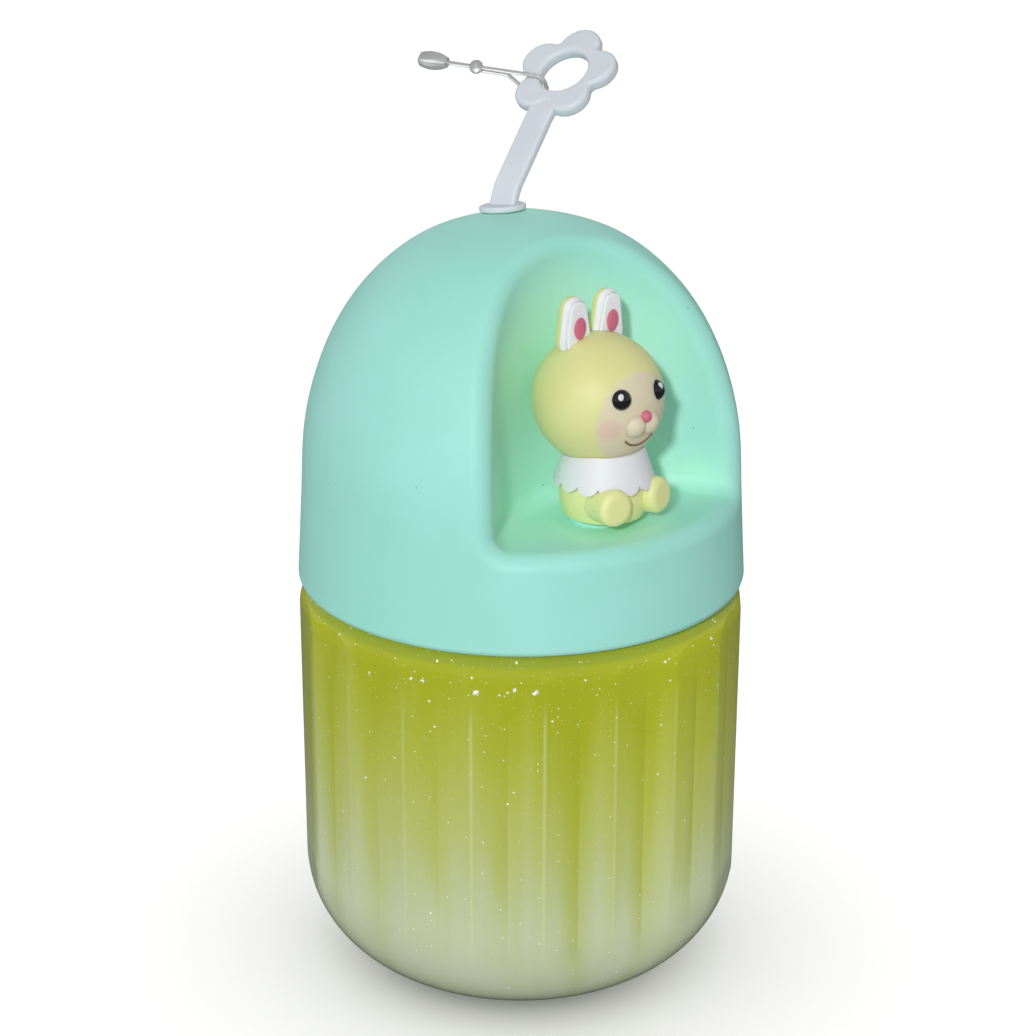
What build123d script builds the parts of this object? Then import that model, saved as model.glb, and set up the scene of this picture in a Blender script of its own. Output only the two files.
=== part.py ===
"""Glass sipper jar with a domed screw lid.

A fluted glass jar is closed by a two-piece screw lid. The outer dome is scooped out at the
front, and a small seated toy rabbit stands in the scoop. Behind it a silicone plug with a
flower-shaped pull ring closes the straw hole, and a nylon tag pin is looped through the ring.

Millimetres, +Z up. The origin is the centre of the jar's base, on the surface it stands on.
The scoop faces -Y.
"""
from build123d import *
import math
import os

os.makedirs("parts", exist_ok=True)

# ---- screw lid ----------------------------------------------------------------------------
rim_radius = 40.0           # the widest place, and the size that the others follow
rim_round = 1.2
skirt_draft = 0.9           # the skirt is this much narrower where the dome starts
skirt_height = 16.0         # rim to the start of the dome
dome_height = 49.1
dome_power = 2.2            # superellipse exponent: 2 is an ellipse, more is fuller
shell_wall = 2.0
niche_radius = 28.0         # vertical scoop in the front of the dome
niche_floor_round = 3.0
crest_round = 3.0           # soft edge all round the scoop

cap_wall = 1.85
cap_disc = 2.0
thread_depth = 1.2          # room for the thread between the neck and the cap
press_gap = 0.05            # parts pressed or glued into each other

gasket_thickness = 1.5
gasket_width = 3.4
gasket_chamfer = 0.25
seal_gap = 0.15             # each side of the gasket

# ---- glass jar ----------------------------------------------------------------------------
jar_inset = 0.05            # the lid's rim stands proud of the jar by this
flute_count = 20            # folds pressed into the wall, with a ridge between each two
flute_depth = 0.75
flute_turn = 6.3            # degrees from +X to a ridge
ridge_trim = 0.07           # what the round wall takes off each ridge
heel_radius = 20.0          # large round from the wall to the base
shoulder_z = 74.0
shoulder_round = 4.6
glass_wall = 3.2
base_thickness = 6.0
punt_radius = 13.0          # shallow hollow under the base, so the jar rests on a ring
punt_depth = 1.2
neck_wall = 3.0
neck_height = 12.0
lid_gap = 0.3               # jar shoulder to lid rim when closed

# ---- straw hole and plug --------------------------------------------------------------------
straw_radius = 3.1
straw_y = 5.8               # lid axis to the hole, away from the scoop
tube_wall = 1.5
socket_wall = 1.5
socket_depth = 7.0
plug_clearance = 0.05
stem_length = 9.0
stem_chamfer = 0.5
flange_radius = 4.1
flange_thickness = 1.1
flange_round = 0.45
flange_gap = 0.1

strap_width = 5.2
strap_thickness = 1.8
strap_heading = 18.0        # degrees from +X, the way the strap leans
strap_lengths = (3.6, 14.4, 9.6)
strap_rises = (68.0, 49.0, 39.0)  # degrees above level, one for each length
strap_bend = 7.0

ring_thickness = 2.5
ring_hole_radius = 4.45
petal_count = 5
petal_radius = 3.95
petal_offset = 5.85         # ring centre to petal centre
ring_notch_round = 0.9
ring_edge_round = 0.9

# ---- tag pin --------------------------------------------------------------------------------
pin_radius = 0.37
pin_turn = 119.0            # degrees round the ring, from the strap's line to the pin
pin_heading = 97.0          # degrees from the strap's line, the way the pin points
pin_lift = 9.0              # degrees that the pin stands up from the ring
band_shift = 0.2            # the band is this much wider outwards under the pin than in a notch
loop_reach = 10.6           # middle of the band to the bead
loop_half_gap = 2.2
loop_end = 2.42             # middle of the band to the strand in the ring's hole
loop_join = 4.7             # middle of the band to where the two strands meet
loop_bend = 1.5
bead_radius = 1.25
tail_length = 5.7           # bead to lock
lock_length = 5.4
lock_width = 3.0
lock_height = 2.4

# ---- toy rabbit -----------------------------------------------------------------------------
figure_x = -1.4
figure_to_back = 11.9       # middle of the toy to the back of the scoop
figure_heading = 7.0        # degrees that it is turned towards +X
foot_disc_radius = 4.8
foot_disc_thickness = 1.8
peg_radius = 1.6

torso_height = 12.4
torso_belly_radius = 7.7
torso_neck_radius = 5.3
torso_belly_z = 3.8
torso_forward = 1.8         # middle of the head to the middle of the torso

head_radius = 11.15
head_z = 19.9               # above the foot disc

leg_radius = 3.15
sole_round = 1.3
hip = (3.8, -3.2, 3.3)      # left side; the right side is its mirror image
toe = (5.2, -10.6, 4.0)

cape_thickness = 1.2
cape_top = 11.8
cape_hem = 7.6              # height of the scallops' centres
scallop_count = 14

ear_root_radius = 3.2       # wide lower end of an ear
ear_tip_radius = 2.4
ear_height = 6.5            # above the crown of the head
ear_root = 4.0              # length inside the head's outline
ear_thickness = 2.9
ear_round = 1.2
ear_spread = 3.6            # middle of the head to the middle of an ear
ear_splay = 2.0
ear_back = 2.4
lining_border = 0.6
lining_proud = 0.25
lining_depth = 0.6

muzzle_radius = 2.2
muzzle_spread = 1.5
muzzle_drop = 2.0
muzzle_sink = 1.1
nose_radius = 1.05
nose_drop = 0.6
eye_radius = 1.9
eye_spread = 3.9
eye_rise = 2.6
tail_radius = 2.3
tail_z = 2.9

# ---- sizes and heights that follow --------------------------------------------------------------
jar_radius = rim_radius - jar_inset
dome_radius = rim_radius - skirt_draft
cap_radius = dome_radius - shell_wall - press_gap
cap_bore = cap_radius - cap_wall
neck_radius = cap_bore - thread_depth
niche_centre = rim_radius   # lid axis to scoop axis
figure_y = niche_radius - niche_centre - figure_to_back
neck_top = shoulder_z + neck_height
rim_z = shoulder_z + lid_gap
cap_underside = neck_top + gasket_thickness + 2 * seal_gap
cap_top = cap_underside + cap_disc
niche_floor_z = cap_top + shell_wall
dome_z = rim_z + skirt_height
dome_top = dome_z + dome_height
from_end = (Align.CENTER, Align.CENTER, Align.MIN)   # a cylinder that starts at the origin


def dome_height_at(radius, inset=0.0):
    """Height of the dome's surface at a radius from the lid axis."""
    share = 1 - (radius / (dome_radius - inset)) ** dome_power
    return dome_z + (dome_height - inset) * share ** (1 / dome_power)


def dome_curve(inset=0.0, lean=(0.0, 0.0, 1.0)):
    """Quarter superellipse from the skirt to the crown, in the XZ plane."""
    steps = 8
    points = []
    for i in range(steps):
        turn = math.radians(90 * i / steps)
        across = (dome_radius - inset) * math.cos(turn) ** (2 / dome_power)
        up = (dome_height - inset) * math.sin(turn) ** (2 / dome_power)
        points.append((across, 0, dome_z + up))
    points.append((0, 0, dome_top - inset))
    return Spline(*points, tangents=[lean, (-1, 0, 0)])


def upright_cylinder(radius, low, high, x=0.0, y=0.0):
    """Cylinder about a vertical axis between two heights."""
    return Pos(x, y, low) * Cylinder(radius, high - low, align=from_end)


def revolved(*edges):
    """Solid of revolution about +Z from the edges of a closed half section."""
    return revolve(make_face(Curve() + list(edges)), Axis.Z)


# ---- jar ----------------------------------------------------------------------------------------
def jar_outside():
    """Turned outside of the jar: heel, wall, shoulder and neck."""
    wall = BuildLine(Plane.XZ)
    with wall:
        Polyline((0, 0), (jar_radius, 0), (jar_radius, shoulder_z), (neck_radius, shoulder_z))
        Polyline((neck_radius, shoulder_z), (neck_radius, neck_top), (0, neck_top), (0, 0))
    section = make_face(wall.line)
    section = fillet(vertex_at(section, jar_radius, 0), heel_radius)
    section = fillet(vertex_at(section, jar_radius, shoulder_z), shoulder_round)
    section = fillet(vertex_at(section, neck_radius, neck_top), neck_wall / 3)
    return revolve(section, Axis.Z)


def vertex_at(section, x, z):
    """The corner of a section in the XZ plane that lies at x, z."""
    return section.vertices().sort_by_distance((x, 0, z))[0]


def jar_inside():
    """Turned hollow of the jar, with the same rounds as the outside less the wall."""
    hollow_radius = jar_radius - glass_wall
    hollow_top = shoulder_z - glass_wall
    mouth_radius = neck_radius - neck_wall
    wall = BuildLine(Plane.XZ)
    with wall:
        Polyline((0, base_thickness), (hollow_radius, base_thickness), (hollow_radius, hollow_top))
        Polyline((hollow_radius, hollow_top), (mouth_radius, hollow_top), (mouth_radius, neck_top))
        Polyline((mouth_radius, neck_top), (0, neck_top), (0, base_thickness))
    section = make_face(wall.line)
    section = fillet(vertex_at(section, hollow_radius, base_thickness), heel_radius - glass_wall)
    section = fillet(vertex_at(section, hollow_radius, hollow_top), shoulder_round - glass_wall / 2)
    return revolve(section, Axis.Z)


def punt():
    """Shallow dished hollow under the base."""
    dish_radius = (punt_radius**2 + punt_depth**2) / (2 * punt_depth)
    return Pos(0, 0, punt_depth - dish_radius) * Sphere(dish_radius)


def flutes():
    """Prism with a ridge and a fold by turns all round, which the turned jar is cut to."""
    corners = []
    for i in range(2 * flute_count):
        turn = math.radians(flute_turn + 180 * i / flute_count)
        reach = jar_radius + ridge_trim if i % 2 == 0 else jar_radius - flute_depth
        corners.append((reach * math.cos(turn), reach * math.sin(turn)))
    return extrude(make_face(Polyline(*corners, close=True)), neck_top)


def glass_jar():
    """Jar with shallow folds all round its wall."""
    return (jar_outside() & flutes()) - jar_inside() - punt()


# ---- lid ----------------------------------------------------------------------------------------
def lid_outside():
    """Turned outside of the dome and its skirt, closed underneath."""
    bend = rim_round * (1 - math.sqrt(0.5))
    bottom = Line((0, 0, rim_z), (rim_radius - rim_round, 0, rim_z))
    corner = ThreePointArc(
        (rim_radius - rim_round, 0, rim_z),
        (rim_radius - bend, 0, rim_z + bend),
        (rim_radius, 0, rim_z + rim_round),
    )
    side = Line((rim_radius, 0, rim_z + rim_round), (dome_radius, 0, dome_z))
    curve = dome_curve(0, side % 1)
    middle = Line((0, 0, dome_top), (0, 0, rim_z))
    return revolved(bottom, corner, side, curve, middle)


def scoop(grow=0.0):
    """The vertical scoop, or the same grown by a wall, with a round at its floor."""
    low = niche_floor_z - grow
    body = upright_cylinder(niche_radius + grow, low, dome_top + shell_wall, 0, -niche_centre)
    return fillet(body.edges().group_by(Axis.Z)[0], niche_floor_round + grow)


def straw_socket():
    """Boss under the dome that takes the top of the straw tube."""
    outer = straw_radius + tube_wall + press_gap + socket_wall
    low = socket_bottom()
    return upright_cylinder(outer, low, dome_top, 0, straw_y)


def socket_bottom():
    """Height of the lower end of the boss under the dome."""
    far_side = straw_y + straw_radius + tube_wall + socket_wall
    return dome_height_at(far_side, shell_wall) - socket_depth


def tube_top():
    """Height of the top of the straw tube, just under the dome."""
    far_side = straw_y + straw_radius + tube_wall
    return dome_height_at(far_side, shell_wall) - press_gap


def lid_hollow():
    """Inside of the dome, which follows the scoop at one wall's distance."""
    skirt_radius = dome_radius - shell_wall
    bottom = Line((0, 0, rim_z), (skirt_radius, 0, rim_z))
    side = Line((skirt_radius, 0, rim_z), (skirt_radius, 0, dome_z))
    middle = Line((0, 0, dome_top - shell_wall), (0, 0, rim_z))
    inside = revolved(bottom, side, dome_curve(shell_wall), middle)
    above_cap = upright_cylinder(rim_radius, cap_top, dome_top)
    walls = scoop(shell_wall) + straw_socket()
    return inside - (walls & above_cap)


def lid_shell():
    """Dome with its scoop, hollow inside, with the straw hole and the rabbit's peg hole."""
    carved = lid_outside() - scoop()
    crest = [e for e in carved.edges() if e.bounding_box().min.Z > niche_floor_z - press_gap]
    soft = fillet(crest, crest_round)
    shell = soft - lid_hollow()
    tube_radius = straw_radius + tube_wall + press_gap
    shell -= upright_cylinder(straw_radius, cap_top, dome_top + shell_wall, 0, straw_y)
    shell -= upright_cylinder(tube_radius, cap_top, tube_top() + press_gap, 0, straw_y)
    peg_hole = peg_radius + press_gap
    above_floor = niche_floor_z + shell_wall
    return shell - upright_cylinder(peg_hole, cap_top, above_floor, figure_x, figure_y)


def lid_cap():
    """Inner screw cap: a skirt round the jar's neck, a disc, and the straw tube."""
    low = rim_z + lid_gap
    cap = upright_cylinder(cap_radius, low, cap_top)
    cap -= upright_cylinder(cap_bore, low, cap_underside)
    cap = chamfer(cap.edges().group_by(Axis.Z)[0], cap_wall / 5)
    cap += upright_cylinder(straw_radius + tube_wall, cap_top, tube_top(), 0, straw_y)
    return cap - upright_cylinder(straw_radius, cap_underside, tube_top(), 0, straw_y)


def lid_gasket():
    """Flat silicone ring between the jar's mouth and the cap."""
    low = neck_top + seal_gap
    outer = neck_radius + thread_depth / 2
    ring = upright_cylinder(outer, low, low + gasket_thickness)
    ring -= upright_cylinder(outer - gasket_width, low, low + gasket_thickness)
    return chamfer(ring.edges(), gasket_chamfer)


# ---- plug ---------------------------------------------------------------------------------------
def plug_slope():
    """Slope of the dome at the straw hole, in degrees."""
    step = 0.01
    fall = dome_height_at(straw_y - step) - dome_height_at(straw_y + step)
    return math.degrees(math.atan2(fall, 2 * step))


flange_seat = Vector(0, straw_y, dome_height_at(straw_y) + flange_gap)
strap_frame = Pos(*flange_seat) * Rot(0, 0, strap_heading)


def strap_points():
    """Corners of the strap's middle line, leaning towards +X from the flange."""
    points = [Vector(0, 0, flange_thickness / 2)]
    for length, rise in zip(strap_lengths, strap_rises):
        lean = math.radians(rise)
        points.append(points[-1] + Vector(math.cos(lean), 0, math.sin(lean)) * length)
    return points


def ring_plane():
    """Plane of the flower ring: x along the strap's last run, z up out of the ring."""
    lean = math.radians(strap_rises[-1])
    along = (math.cos(lean), 0, math.sin(lean))
    up = (-math.sin(lean), 0, math.cos(lean))
    return Plane(origin=strap_points()[-1], x_dir=along, z_dir=up)


def plug_strap():
    """Flat strap, bent in two places, from the flange to a notch of the flower."""
    points = strap_points()
    overlap = (petal_offset - ring_hole_radius) / 2
    last = points[-1] - (points[-1] - points[-2]).normalized() * (petal_offset - overlap)
    path = FilletPolyline(points[0], points[1], points[2], last, radius=strap_bend)
    section = Plane(origin=path @ 0, x_dir=(0, 1, 0), z_dir=path % 0)
    blank = section * RectangleRounded(strap_width, strap_thickness, strap_thickness / 3)
    return sweep(blank, path)


def flower_ring():
    """Five-petalled pull ring."""
    face = Circle(petal_offset)
    for petal in PolarLocations(petal_offset, petal_count):
        face += petal * Circle(petal_radius)
    body = extrude(face, ring_thickness / 2, both=True)
    body = fillet(body.edges().filter_by(Axis.Z), ring_notch_round)
    body -= extrude(Circle(ring_hole_radius), ring_thickness / 2, both=True)
    rims = body.faces().group_by(Axis.Z)[0].edges() + body.faces().group_by(Axis.Z)[-1].edges()
    return ring_plane() * fillet(rims, ring_edge_round)


def plug_stopper():
    """Stem in the straw hole, and the thin flange that lies on the dome."""
    disc = Cylinder(flange_radius, flange_thickness, align=from_end)
    flange = Pos(*flange_seat) * Rot(-plug_slope(), 0, 0) * fillet(disc.edges(), flange_round)
    stem_radius = straw_radius - plug_clearance
    top = flange_seat.Z + flange_thickness / 2
    stem = upright_cylinder(stem_radius, flange_seat.Z - stem_length, top, 0, straw_y)
    return flange + chamfer(stem.edges().group_by(Axis.Z)[0], stem_chamfer)


def straw_plug():
    """Stopper, strap and pull ring, one silicone moulding."""
    return plug_stopper() + strap_frame * (plug_strap() + flower_ring())


# ---- tag pin --------------------------------------------------------------------------------------
def notch_radius():
    """Ring centre to the rounded bottom of the notch between two petals."""
    half = math.radians(180 / petal_count)
    across = petal_offset * math.sin(half)
    reach = math.sqrt((petal_radius + ring_notch_round) ** 2 - across**2)
    return petal_offset * math.cos(half) + reach - ring_notch_round


def pin_frame():
    """Place of the pin: origin in the middle of the ring's band, x out along the pin."""
    middle = (ring_hole_radius + notch_radius()) / 2 + band_shift
    band = strap_frame * ring_plane().location * Rot(0, 0, pin_turn) * Pos(middle, 0, 0)
    return band * Rot(0, 0, pin_heading - pin_turn) * Rot(0, -pin_lift, 0)


def pin_loop():
    """Strand that goes from the bead over the ring, through it and back under it."""
    gap = loop_half_gap
    beside = gap - 2 * pin_radius - press_gap
    path = FilletPolyline(
        (loop_reach, 0, gap),
        (-loop_end, 0, gap),
        (-loop_end, 0, -gap),
        (gap, 0, -gap),
        (loop_join, 0, beside),
        (loop_reach, 0, beside),
        radius=loop_bend,
    )
    section = Plane(origin=path @ 0, z_dir=path % 0)
    return sweep(section * Circle(pin_radius), path)


def pin_lock():
    """Bead, tail and lock of the pin, in line."""
    bead = Sphere(bead_radius)
    tail = Rot(0, 90, 0) * Cylinder(pin_radius, tail_length + pin_radius, align=from_end)
    small = Plane(origin=(tail_length, 0, 0), x_dir=(0, 1, 0), z_dir=(1, 0, 0))
    large = small.offset(lock_length * 0.45)
    end = small.offset(lock_length)
    sections = [
        small * RectangleRounded(lock_width * 0.55, lock_height * 0.6, lock_height * 0.2),
        large * RectangleRounded(lock_width, lock_height, lock_height * 0.3),
        end * RectangleRounded(lock_width * 0.75, lock_height * 0.8, lock_height * 0.25),
    ]
    return Pos(loop_reach, 0, loop_half_gap) * (bead + tail + loft(sections))


def tag_pin():
    """Moulded nylon loop pin."""
    return pin_frame() * (pin_loop() + pin_lock())


# ---- toy rabbit -----------------------------------------------------------------------------------
figure_frame = Pos(figure_x, figure_y, niche_floor_z) * Rot(0, 0, figure_heading)
seat = foot_disc_thickness


def figure_base():
    """Disc under the rabbit, with the peg that holds it in the niche floor."""
    disc = upright_cylinder(foot_disc_radius, 0, foot_disc_thickness)
    disc = fillet(disc.edges().group_by(Axis.Z)[-1], foot_disc_thickness / 3)
    return disc + upright_cylinder(peg_radius, press_gap - shell_wall, foot_disc_thickness / 2)


def torso(grow=0.0):
    """Torso, or the same grown outwards: a ball for the belly, and a cone up to the neck."""
    belly = torso_belly_radius + grow
    neck = (torso_neck_radius + grow, 0, seat + torso_height)
    climb = torso_height - torso_belly_z
    lean = math.atan2(climb, neck[0]) - math.acos(belly / math.hypot(climb, neck[0]))
    sink = -math.asin(torso_belly_z / belly)
    spots = [belly_point(belly, turn) for turn in (sink, 0, lean)]
    bottom = Line((0, 0, seat), spots[0])
    top = Line(neck, (0, 0, neck[2]))
    middle = Line((0, 0, neck[2]), (0, 0, seat))
    trunk = revolved(bottom, ThreePointArc(*spots), Line(spots[2], neck), top, middle)
    return Pos(0, -torso_forward, 0) * trunk


def belly_point(radius, turn):
    """Point of the belly's outline, an angle above its widest place."""
    return (radius * math.cos(turn), 0, seat + torso_belly_z + radius * math.sin(turn))


def torso_slice(grow, low, high):
    """Part of the grown torso between two heights above the foot disc."""
    return torso(grow) & upright_cylinder(2 * torso_belly_radius, seat + low, seat + high)


def skull(grow=0.0):
    """Head without its details, or the same grown to cut a seat for a glued piece."""
    return Pos(0, 0, seat + head_z) * Sphere(head_radius + grow)


def on_side(point, side):
    """A left-hand point above the foot disc, or its mirror image: side is 1 or -1."""
    return Vector(side * point[0], point[1], seat + point[2])


def leg(side):
    """Leg with its flat sole, of one side: -1 or 1."""
    start = on_side(hip, side)
    along = on_side(toe, side) - start
    rod = Cylinder(leg_radius, along.length, align=from_end)
    rod = Plane(origin=start, z_dir=along) * fillet(rod.edges().group_by(Axis.Z)[-1], sole_round)
    return rod + Pos(*start) * Sphere(leg_radius)


def figure_body():
    """Torso and legs, one moulding, hollowed where the head sits."""
    body = torso() + leg(-1) + leg(1)
    body &= upright_cylinder(4 * torso_belly_radius, seat + press_gap, seat + torso_height)
    return body - skull(press_gap)


def figure_cape():
    """White cape round the shoulders, with a scalloped hem."""
    scallop_radius = math.pi * (torso_belly_radius + cape_thickness) / scallop_count
    cape = torso_slice(cape_thickness, cape_hem, cape_top)
    skirt = torso_slice(cape_thickness, cape_hem - scallop_radius, cape_hem)
    lobe = Rot(0, 90, 0) * Cylinder(scallop_radius, 2 * torso_belly_radius, align=from_end)
    for place in PolarLocations(0, scallop_count):
        cape += skirt & (Pos(0, -torso_forward, seat + cape_hem) * place * lobe)
    return cape - figure_body() - skull(press_gap)


def ear_outline(border=0.0):
    """Long rounded ear, wider at its root, as a sketch with its root at the origin."""
    root = Pos(0, ear_root_radius) * Circle(ear_root_radius - border)
    tip = Pos(0, ear_height + ear_root - ear_tip_radius) * Circle(ear_tip_radius - border)
    return make_hull([*root.edges(), *tip.edges()])


def ear_frame(side):
    """Place of an ear: x across, y up the ear, z towards the front."""
    root = (side * ear_spread, ear_back, seat + head_z + head_radius - ear_root)
    upright = Plane(origin=root, x_dir=(1, 0, 0), z_dir=(0, -1, 0))
    return upright.location * Rot(0, 0, -side * ear_splay)


def ear_blank(side):
    """Whole ear before the head and its lining are cut from it."""
    body = extrude(ear_outline(), ear_thickness / 2, both=True)
    return ear_frame(side) * fillet(body.edges(), ear_round)


def lining(side, grow=0.0):
    """White inside of an ear, set into its front."""
    face = ear_outline(lining_border - grow)
    start = ear_thickness / 2 - lining_depth - grow
    body = extrude(Pos(0, 0, start) * face, lining_depth + lining_proud + grow)
    return ear_frame(side) * body


def ear(side):
    """Ear with a recess for its lining and a seat on the head."""
    return ear_blank(side) - skull(press_gap) - lining(side, press_gap)


def ear_lining(side):
    """Ear lining, trimmed to the head."""
    body = lining(side)
    front = body.faces().sort_by(Axis.Y)[0]
    return fillet(front.edges(), lining_proud * 0.8) - skull(press_gap)


def on_head(x, rise, sink):
    """Point inside the front of the head, sunk below its surface."""
    depth = math.sqrt(head_radius**2 - rise**2 - x**2) - sink
    return Vector(x, -depth, seat + head_z + rise)


def figure_muzzle():
    """Cream muzzle: two soft cheeks side by side."""
    cheeks = None
    for side in (-1, 1):
        spot = on_head(side * muzzle_spread, -muzzle_drop, muzzle_sink)
        cheek = Pos(*spot) * Sphere(muzzle_radius)
        cheeks = cheek if cheeks is None else cheeks + cheek
    return cheeks - skull(press_gap) - nose_ball(press_gap)


def nose_ball(grow=0.0):
    """Nose as a ball between the cheeks."""
    front = on_head(0, -nose_drop, muzzle_sink - muzzle_radius + nose_radius)
    return Pos(*front) * Sphere(nose_radius + grow)


def figure_nose():
    """Small pink nose set into the muzzle."""
    return nose_ball() - skull(press_gap)


def figure_eyes():
    """Two round black bead eyes, each ball's axis pointing out of the head."""
    eyes = []
    for side in (-1, 1):
        spot = on_head(side * eye_spread, eye_rise, eye_radius / 2)
        outward = spot - Vector(0, 0, seat + head_z)
        ball = Plane(origin=spot, z_dir=outward) * Sphere(eye_radius)
        eyes += (ball - skull(press_gap)).solids()
    return Compound(children=eyes)


def figure_tail():
    """Round tail at the back of the body."""
    back = torso_belly_radius - torso_forward
    ball = Pos(0, back + tail_radius / 3, seat + tail_z) * Sphere(tail_radius)
    return ball - torso(press_gap)


nodes = {
    "glass_jar": glass_jar(),
    "lid_gasket": lid_gasket(),
    "lid_cap": lid_cap(),
    "lid_shell": lid_shell(),
    "straw_plug": straw_plug(),
    "tag_pin": tag_pin(),
}
rabbit = {
    "figure_base": figure_base(),
    "figure_body": figure_body(),
    "figure_cape": figure_cape(),
    "figure_tail": figure_tail(),
    "figure_head": skull(),
    "figure_muzzle": figure_muzzle(),
    "figure_nose": figure_nose(),
    "figure_eyes": figure_eyes(),
    "figure_ear_right": ear(-1),
    "figure_ear_left": ear(1),
    "ear_lining_right": ear_lining(-1),
    "ear_lining_left": ear_lining(1),
}
for name, shape in rabbit.items():
    nodes[name] = figure_frame * shape
for name, shape in nodes.items():
    export_step(shape, f"parts/{name}.step")
    print(name, "volume", round(shape.volume, 2))
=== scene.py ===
# %% [markdown]
# # Sipper jar with a domed lid and a toy rabbit
# The imported CAD model is the frame of this scene. It arrives in metres, and every piece of it sits
# at the world origin with its place in its mesh, so new pieces are built straight into that frame.

# %% Load the frame
import math

import bmesh
import bpy
from mathutils import Matrix, Vector


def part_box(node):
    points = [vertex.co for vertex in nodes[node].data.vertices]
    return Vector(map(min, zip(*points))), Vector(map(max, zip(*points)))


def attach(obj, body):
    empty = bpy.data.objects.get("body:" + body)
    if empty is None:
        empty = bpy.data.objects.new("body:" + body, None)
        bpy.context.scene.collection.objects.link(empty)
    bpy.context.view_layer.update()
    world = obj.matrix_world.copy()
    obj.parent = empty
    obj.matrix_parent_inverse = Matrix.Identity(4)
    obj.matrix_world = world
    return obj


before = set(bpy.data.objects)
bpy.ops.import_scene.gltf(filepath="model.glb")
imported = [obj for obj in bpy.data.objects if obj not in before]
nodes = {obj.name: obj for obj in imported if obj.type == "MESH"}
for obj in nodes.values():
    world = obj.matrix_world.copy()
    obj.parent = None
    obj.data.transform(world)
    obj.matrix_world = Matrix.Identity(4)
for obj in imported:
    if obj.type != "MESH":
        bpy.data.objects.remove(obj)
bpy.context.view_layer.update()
scene = bpy.context.scene

# %% [markdown]
# ## Camera
# A lens of 87 mm stands 45 cm from the jar and looks down at it by 21 degrees. A long lens keeps
# the upright sides nearly parallel, as in a catalogue picture. A camera looks along its own -Z
# axis, so a tracking rotation aims it, and a very small roll follows.

# %% Place the camera
MM = 0.001
camera_place = Vector((-244.41, -341.61, 245.44)) * MM
camera_aim = Vector((-0.49, 0.35, 83.98)) * MM
camera_roll = math.radians(0.161)

camera_data = bpy.data.cameras.new("catalogue camera")
camera_data.lens = 87.33
camera_data.sensor_width = 36.0
camera = bpy.data.objects.new("camera", camera_data)
scene.collection.objects.link(camera)
aim = (camera_aim - camera_place).to_track_quat("-Z", "Y").to_matrix().to_4x4()
camera.matrix_world = Matrix.Translation(camera_place) @ aim @ Matrix.Rotation(camera_roll, 4, "Z")
scene.camera = camera
print("camera distance in mm", round((camera_place - camera_aim).length / MM))

# %% [markdown]
# ## Tools for the materials
# Colours are written as the sRGB hex values that a paint chart would give. Blender calculates with
# linear light, so one function converts them. Another adds a shader node, sets its properties, and
# either sets its inputs or links them. Patterns read Object coordinates, which are metres here, so
# a third function turns the real size of a grain in millimetres into a texture scale.

# %% Colour, node and scale helpers
def linear(hex_code):
    """Linear RGBA of an sRGB colour such as #A6E6DA."""
    channels = [int(hex_code[i : i + 2], 16) / 255 for i in (1, 3, 5)]
    curve = [c / 12.92 if c <= 0.04045 else ((c + 0.055) / 1.055) ** 2.4 for c in channels]
    return (*curve, 1.0)


def add(tree, kind, inputs=None, **settings):
    """A new shader node with its settings, and its inputs set or linked."""
    node = tree.nodes.new("ShaderNode" + kind)
    for name, value in settings.items():
        setattr(node, name, value)
    for name, value in (inputs or {}).items():
        if isinstance(value, bpy.types.NodeSocket):
            tree.links.new(value, node.inputs[name])
        else:
            node.inputs[name].default_value = value
    return node


def scale_for(size):
    """Texture scale whose features are this many millimetres across."""
    return 1 / (size * MM)


def new_material(name):
    """An empty material, with the node tree and the output that its shader goes to."""
    material = bpy.data.materials.new(name)
    material.use_nodes = True
    tree = material.node_tree
    tree.nodes.clear()
    return material, tree, add(tree, "OutputMaterial")


def finish_node(name, material):
    """Give a CAD node its material."""
    for slot in nodes[name].material_slots:
        slot.material = material


# %% [markdown]
# ## Building blocks of a surface
# Nearly every surface here is a slow drift of colour, a fine grain, and a bump that follows the
# grain. Math nodes do the rest: a step with a soft edge is a Map Range node set to smoothstep.

# %% Small node recipes
def blended(tree, factor, first, second):
    """Colour that goes from the first to the second as the factor goes from 0 to 1."""
    mix = add(tree, "Mix", {0: factor, 6: first, 7: second}, data_type="RGBA")
    return mix.outputs[2]


def soft_step(tree, value, low, high):
    """0 below low and 1 above high, with a smooth climb; low above high turns it round."""
    inputs = {"Value": value, "From Min": low, "From Max": high}
    if low > high:
        inputs.update({"From Min": high, "From Max": low, "To Min": 1.0, "To Max": 0.0})
    return add(tree, "MapRange", inputs, interpolation_type="SMOOTHSTEP").outputs[0]


def maths(tree, operation, first, second=0.0, third=0.0):
    """Result of one Math node."""
    inputs = {0: first, 1: second, 2: third}
    return add(tree, "Math", inputs, operation=operation).outputs[0]


def grain(tree, place, size, detail=2.0):
    """Noise around 0.5 with features of a size in millimetres."""
    inputs = {"Vector": place, "Scale": scale_for(size), "Detail": detail}
    return add(tree, "TexNoise", inputs).outputs["Fac"]


def relief(tree, height, depth):
    """Normal for a bump of this height pattern, as deep as depth in millimetres."""
    inputs = {"Height": height, "Distance": depth * MM, "Strength": 1.0}
    return add(tree, "Bump", inputs).outputs[0]


def lay_over(tree, shader, mask, colour):
    """Lay a colour over what the shader has, where the mask is 1."""
    base = shader.inputs["Base Color"].links[0].from_socket
    tree.links.new(blended(tree, mask, base, linear(colour)), shader.inputs["Base Color"])


# %% [markdown]
# ## Moulded plastics
# Lid, straw tube, gasket, plug and toy are all mouldings, and differ in gloss, in how deep light
# goes in, and in the grain that the mould's surface left. One recipe with named values serves
# them: two close colours that drift into each other, a roughness with fine grain, a bump from the
# same grain, and light that scatters a little under the surface.

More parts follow.
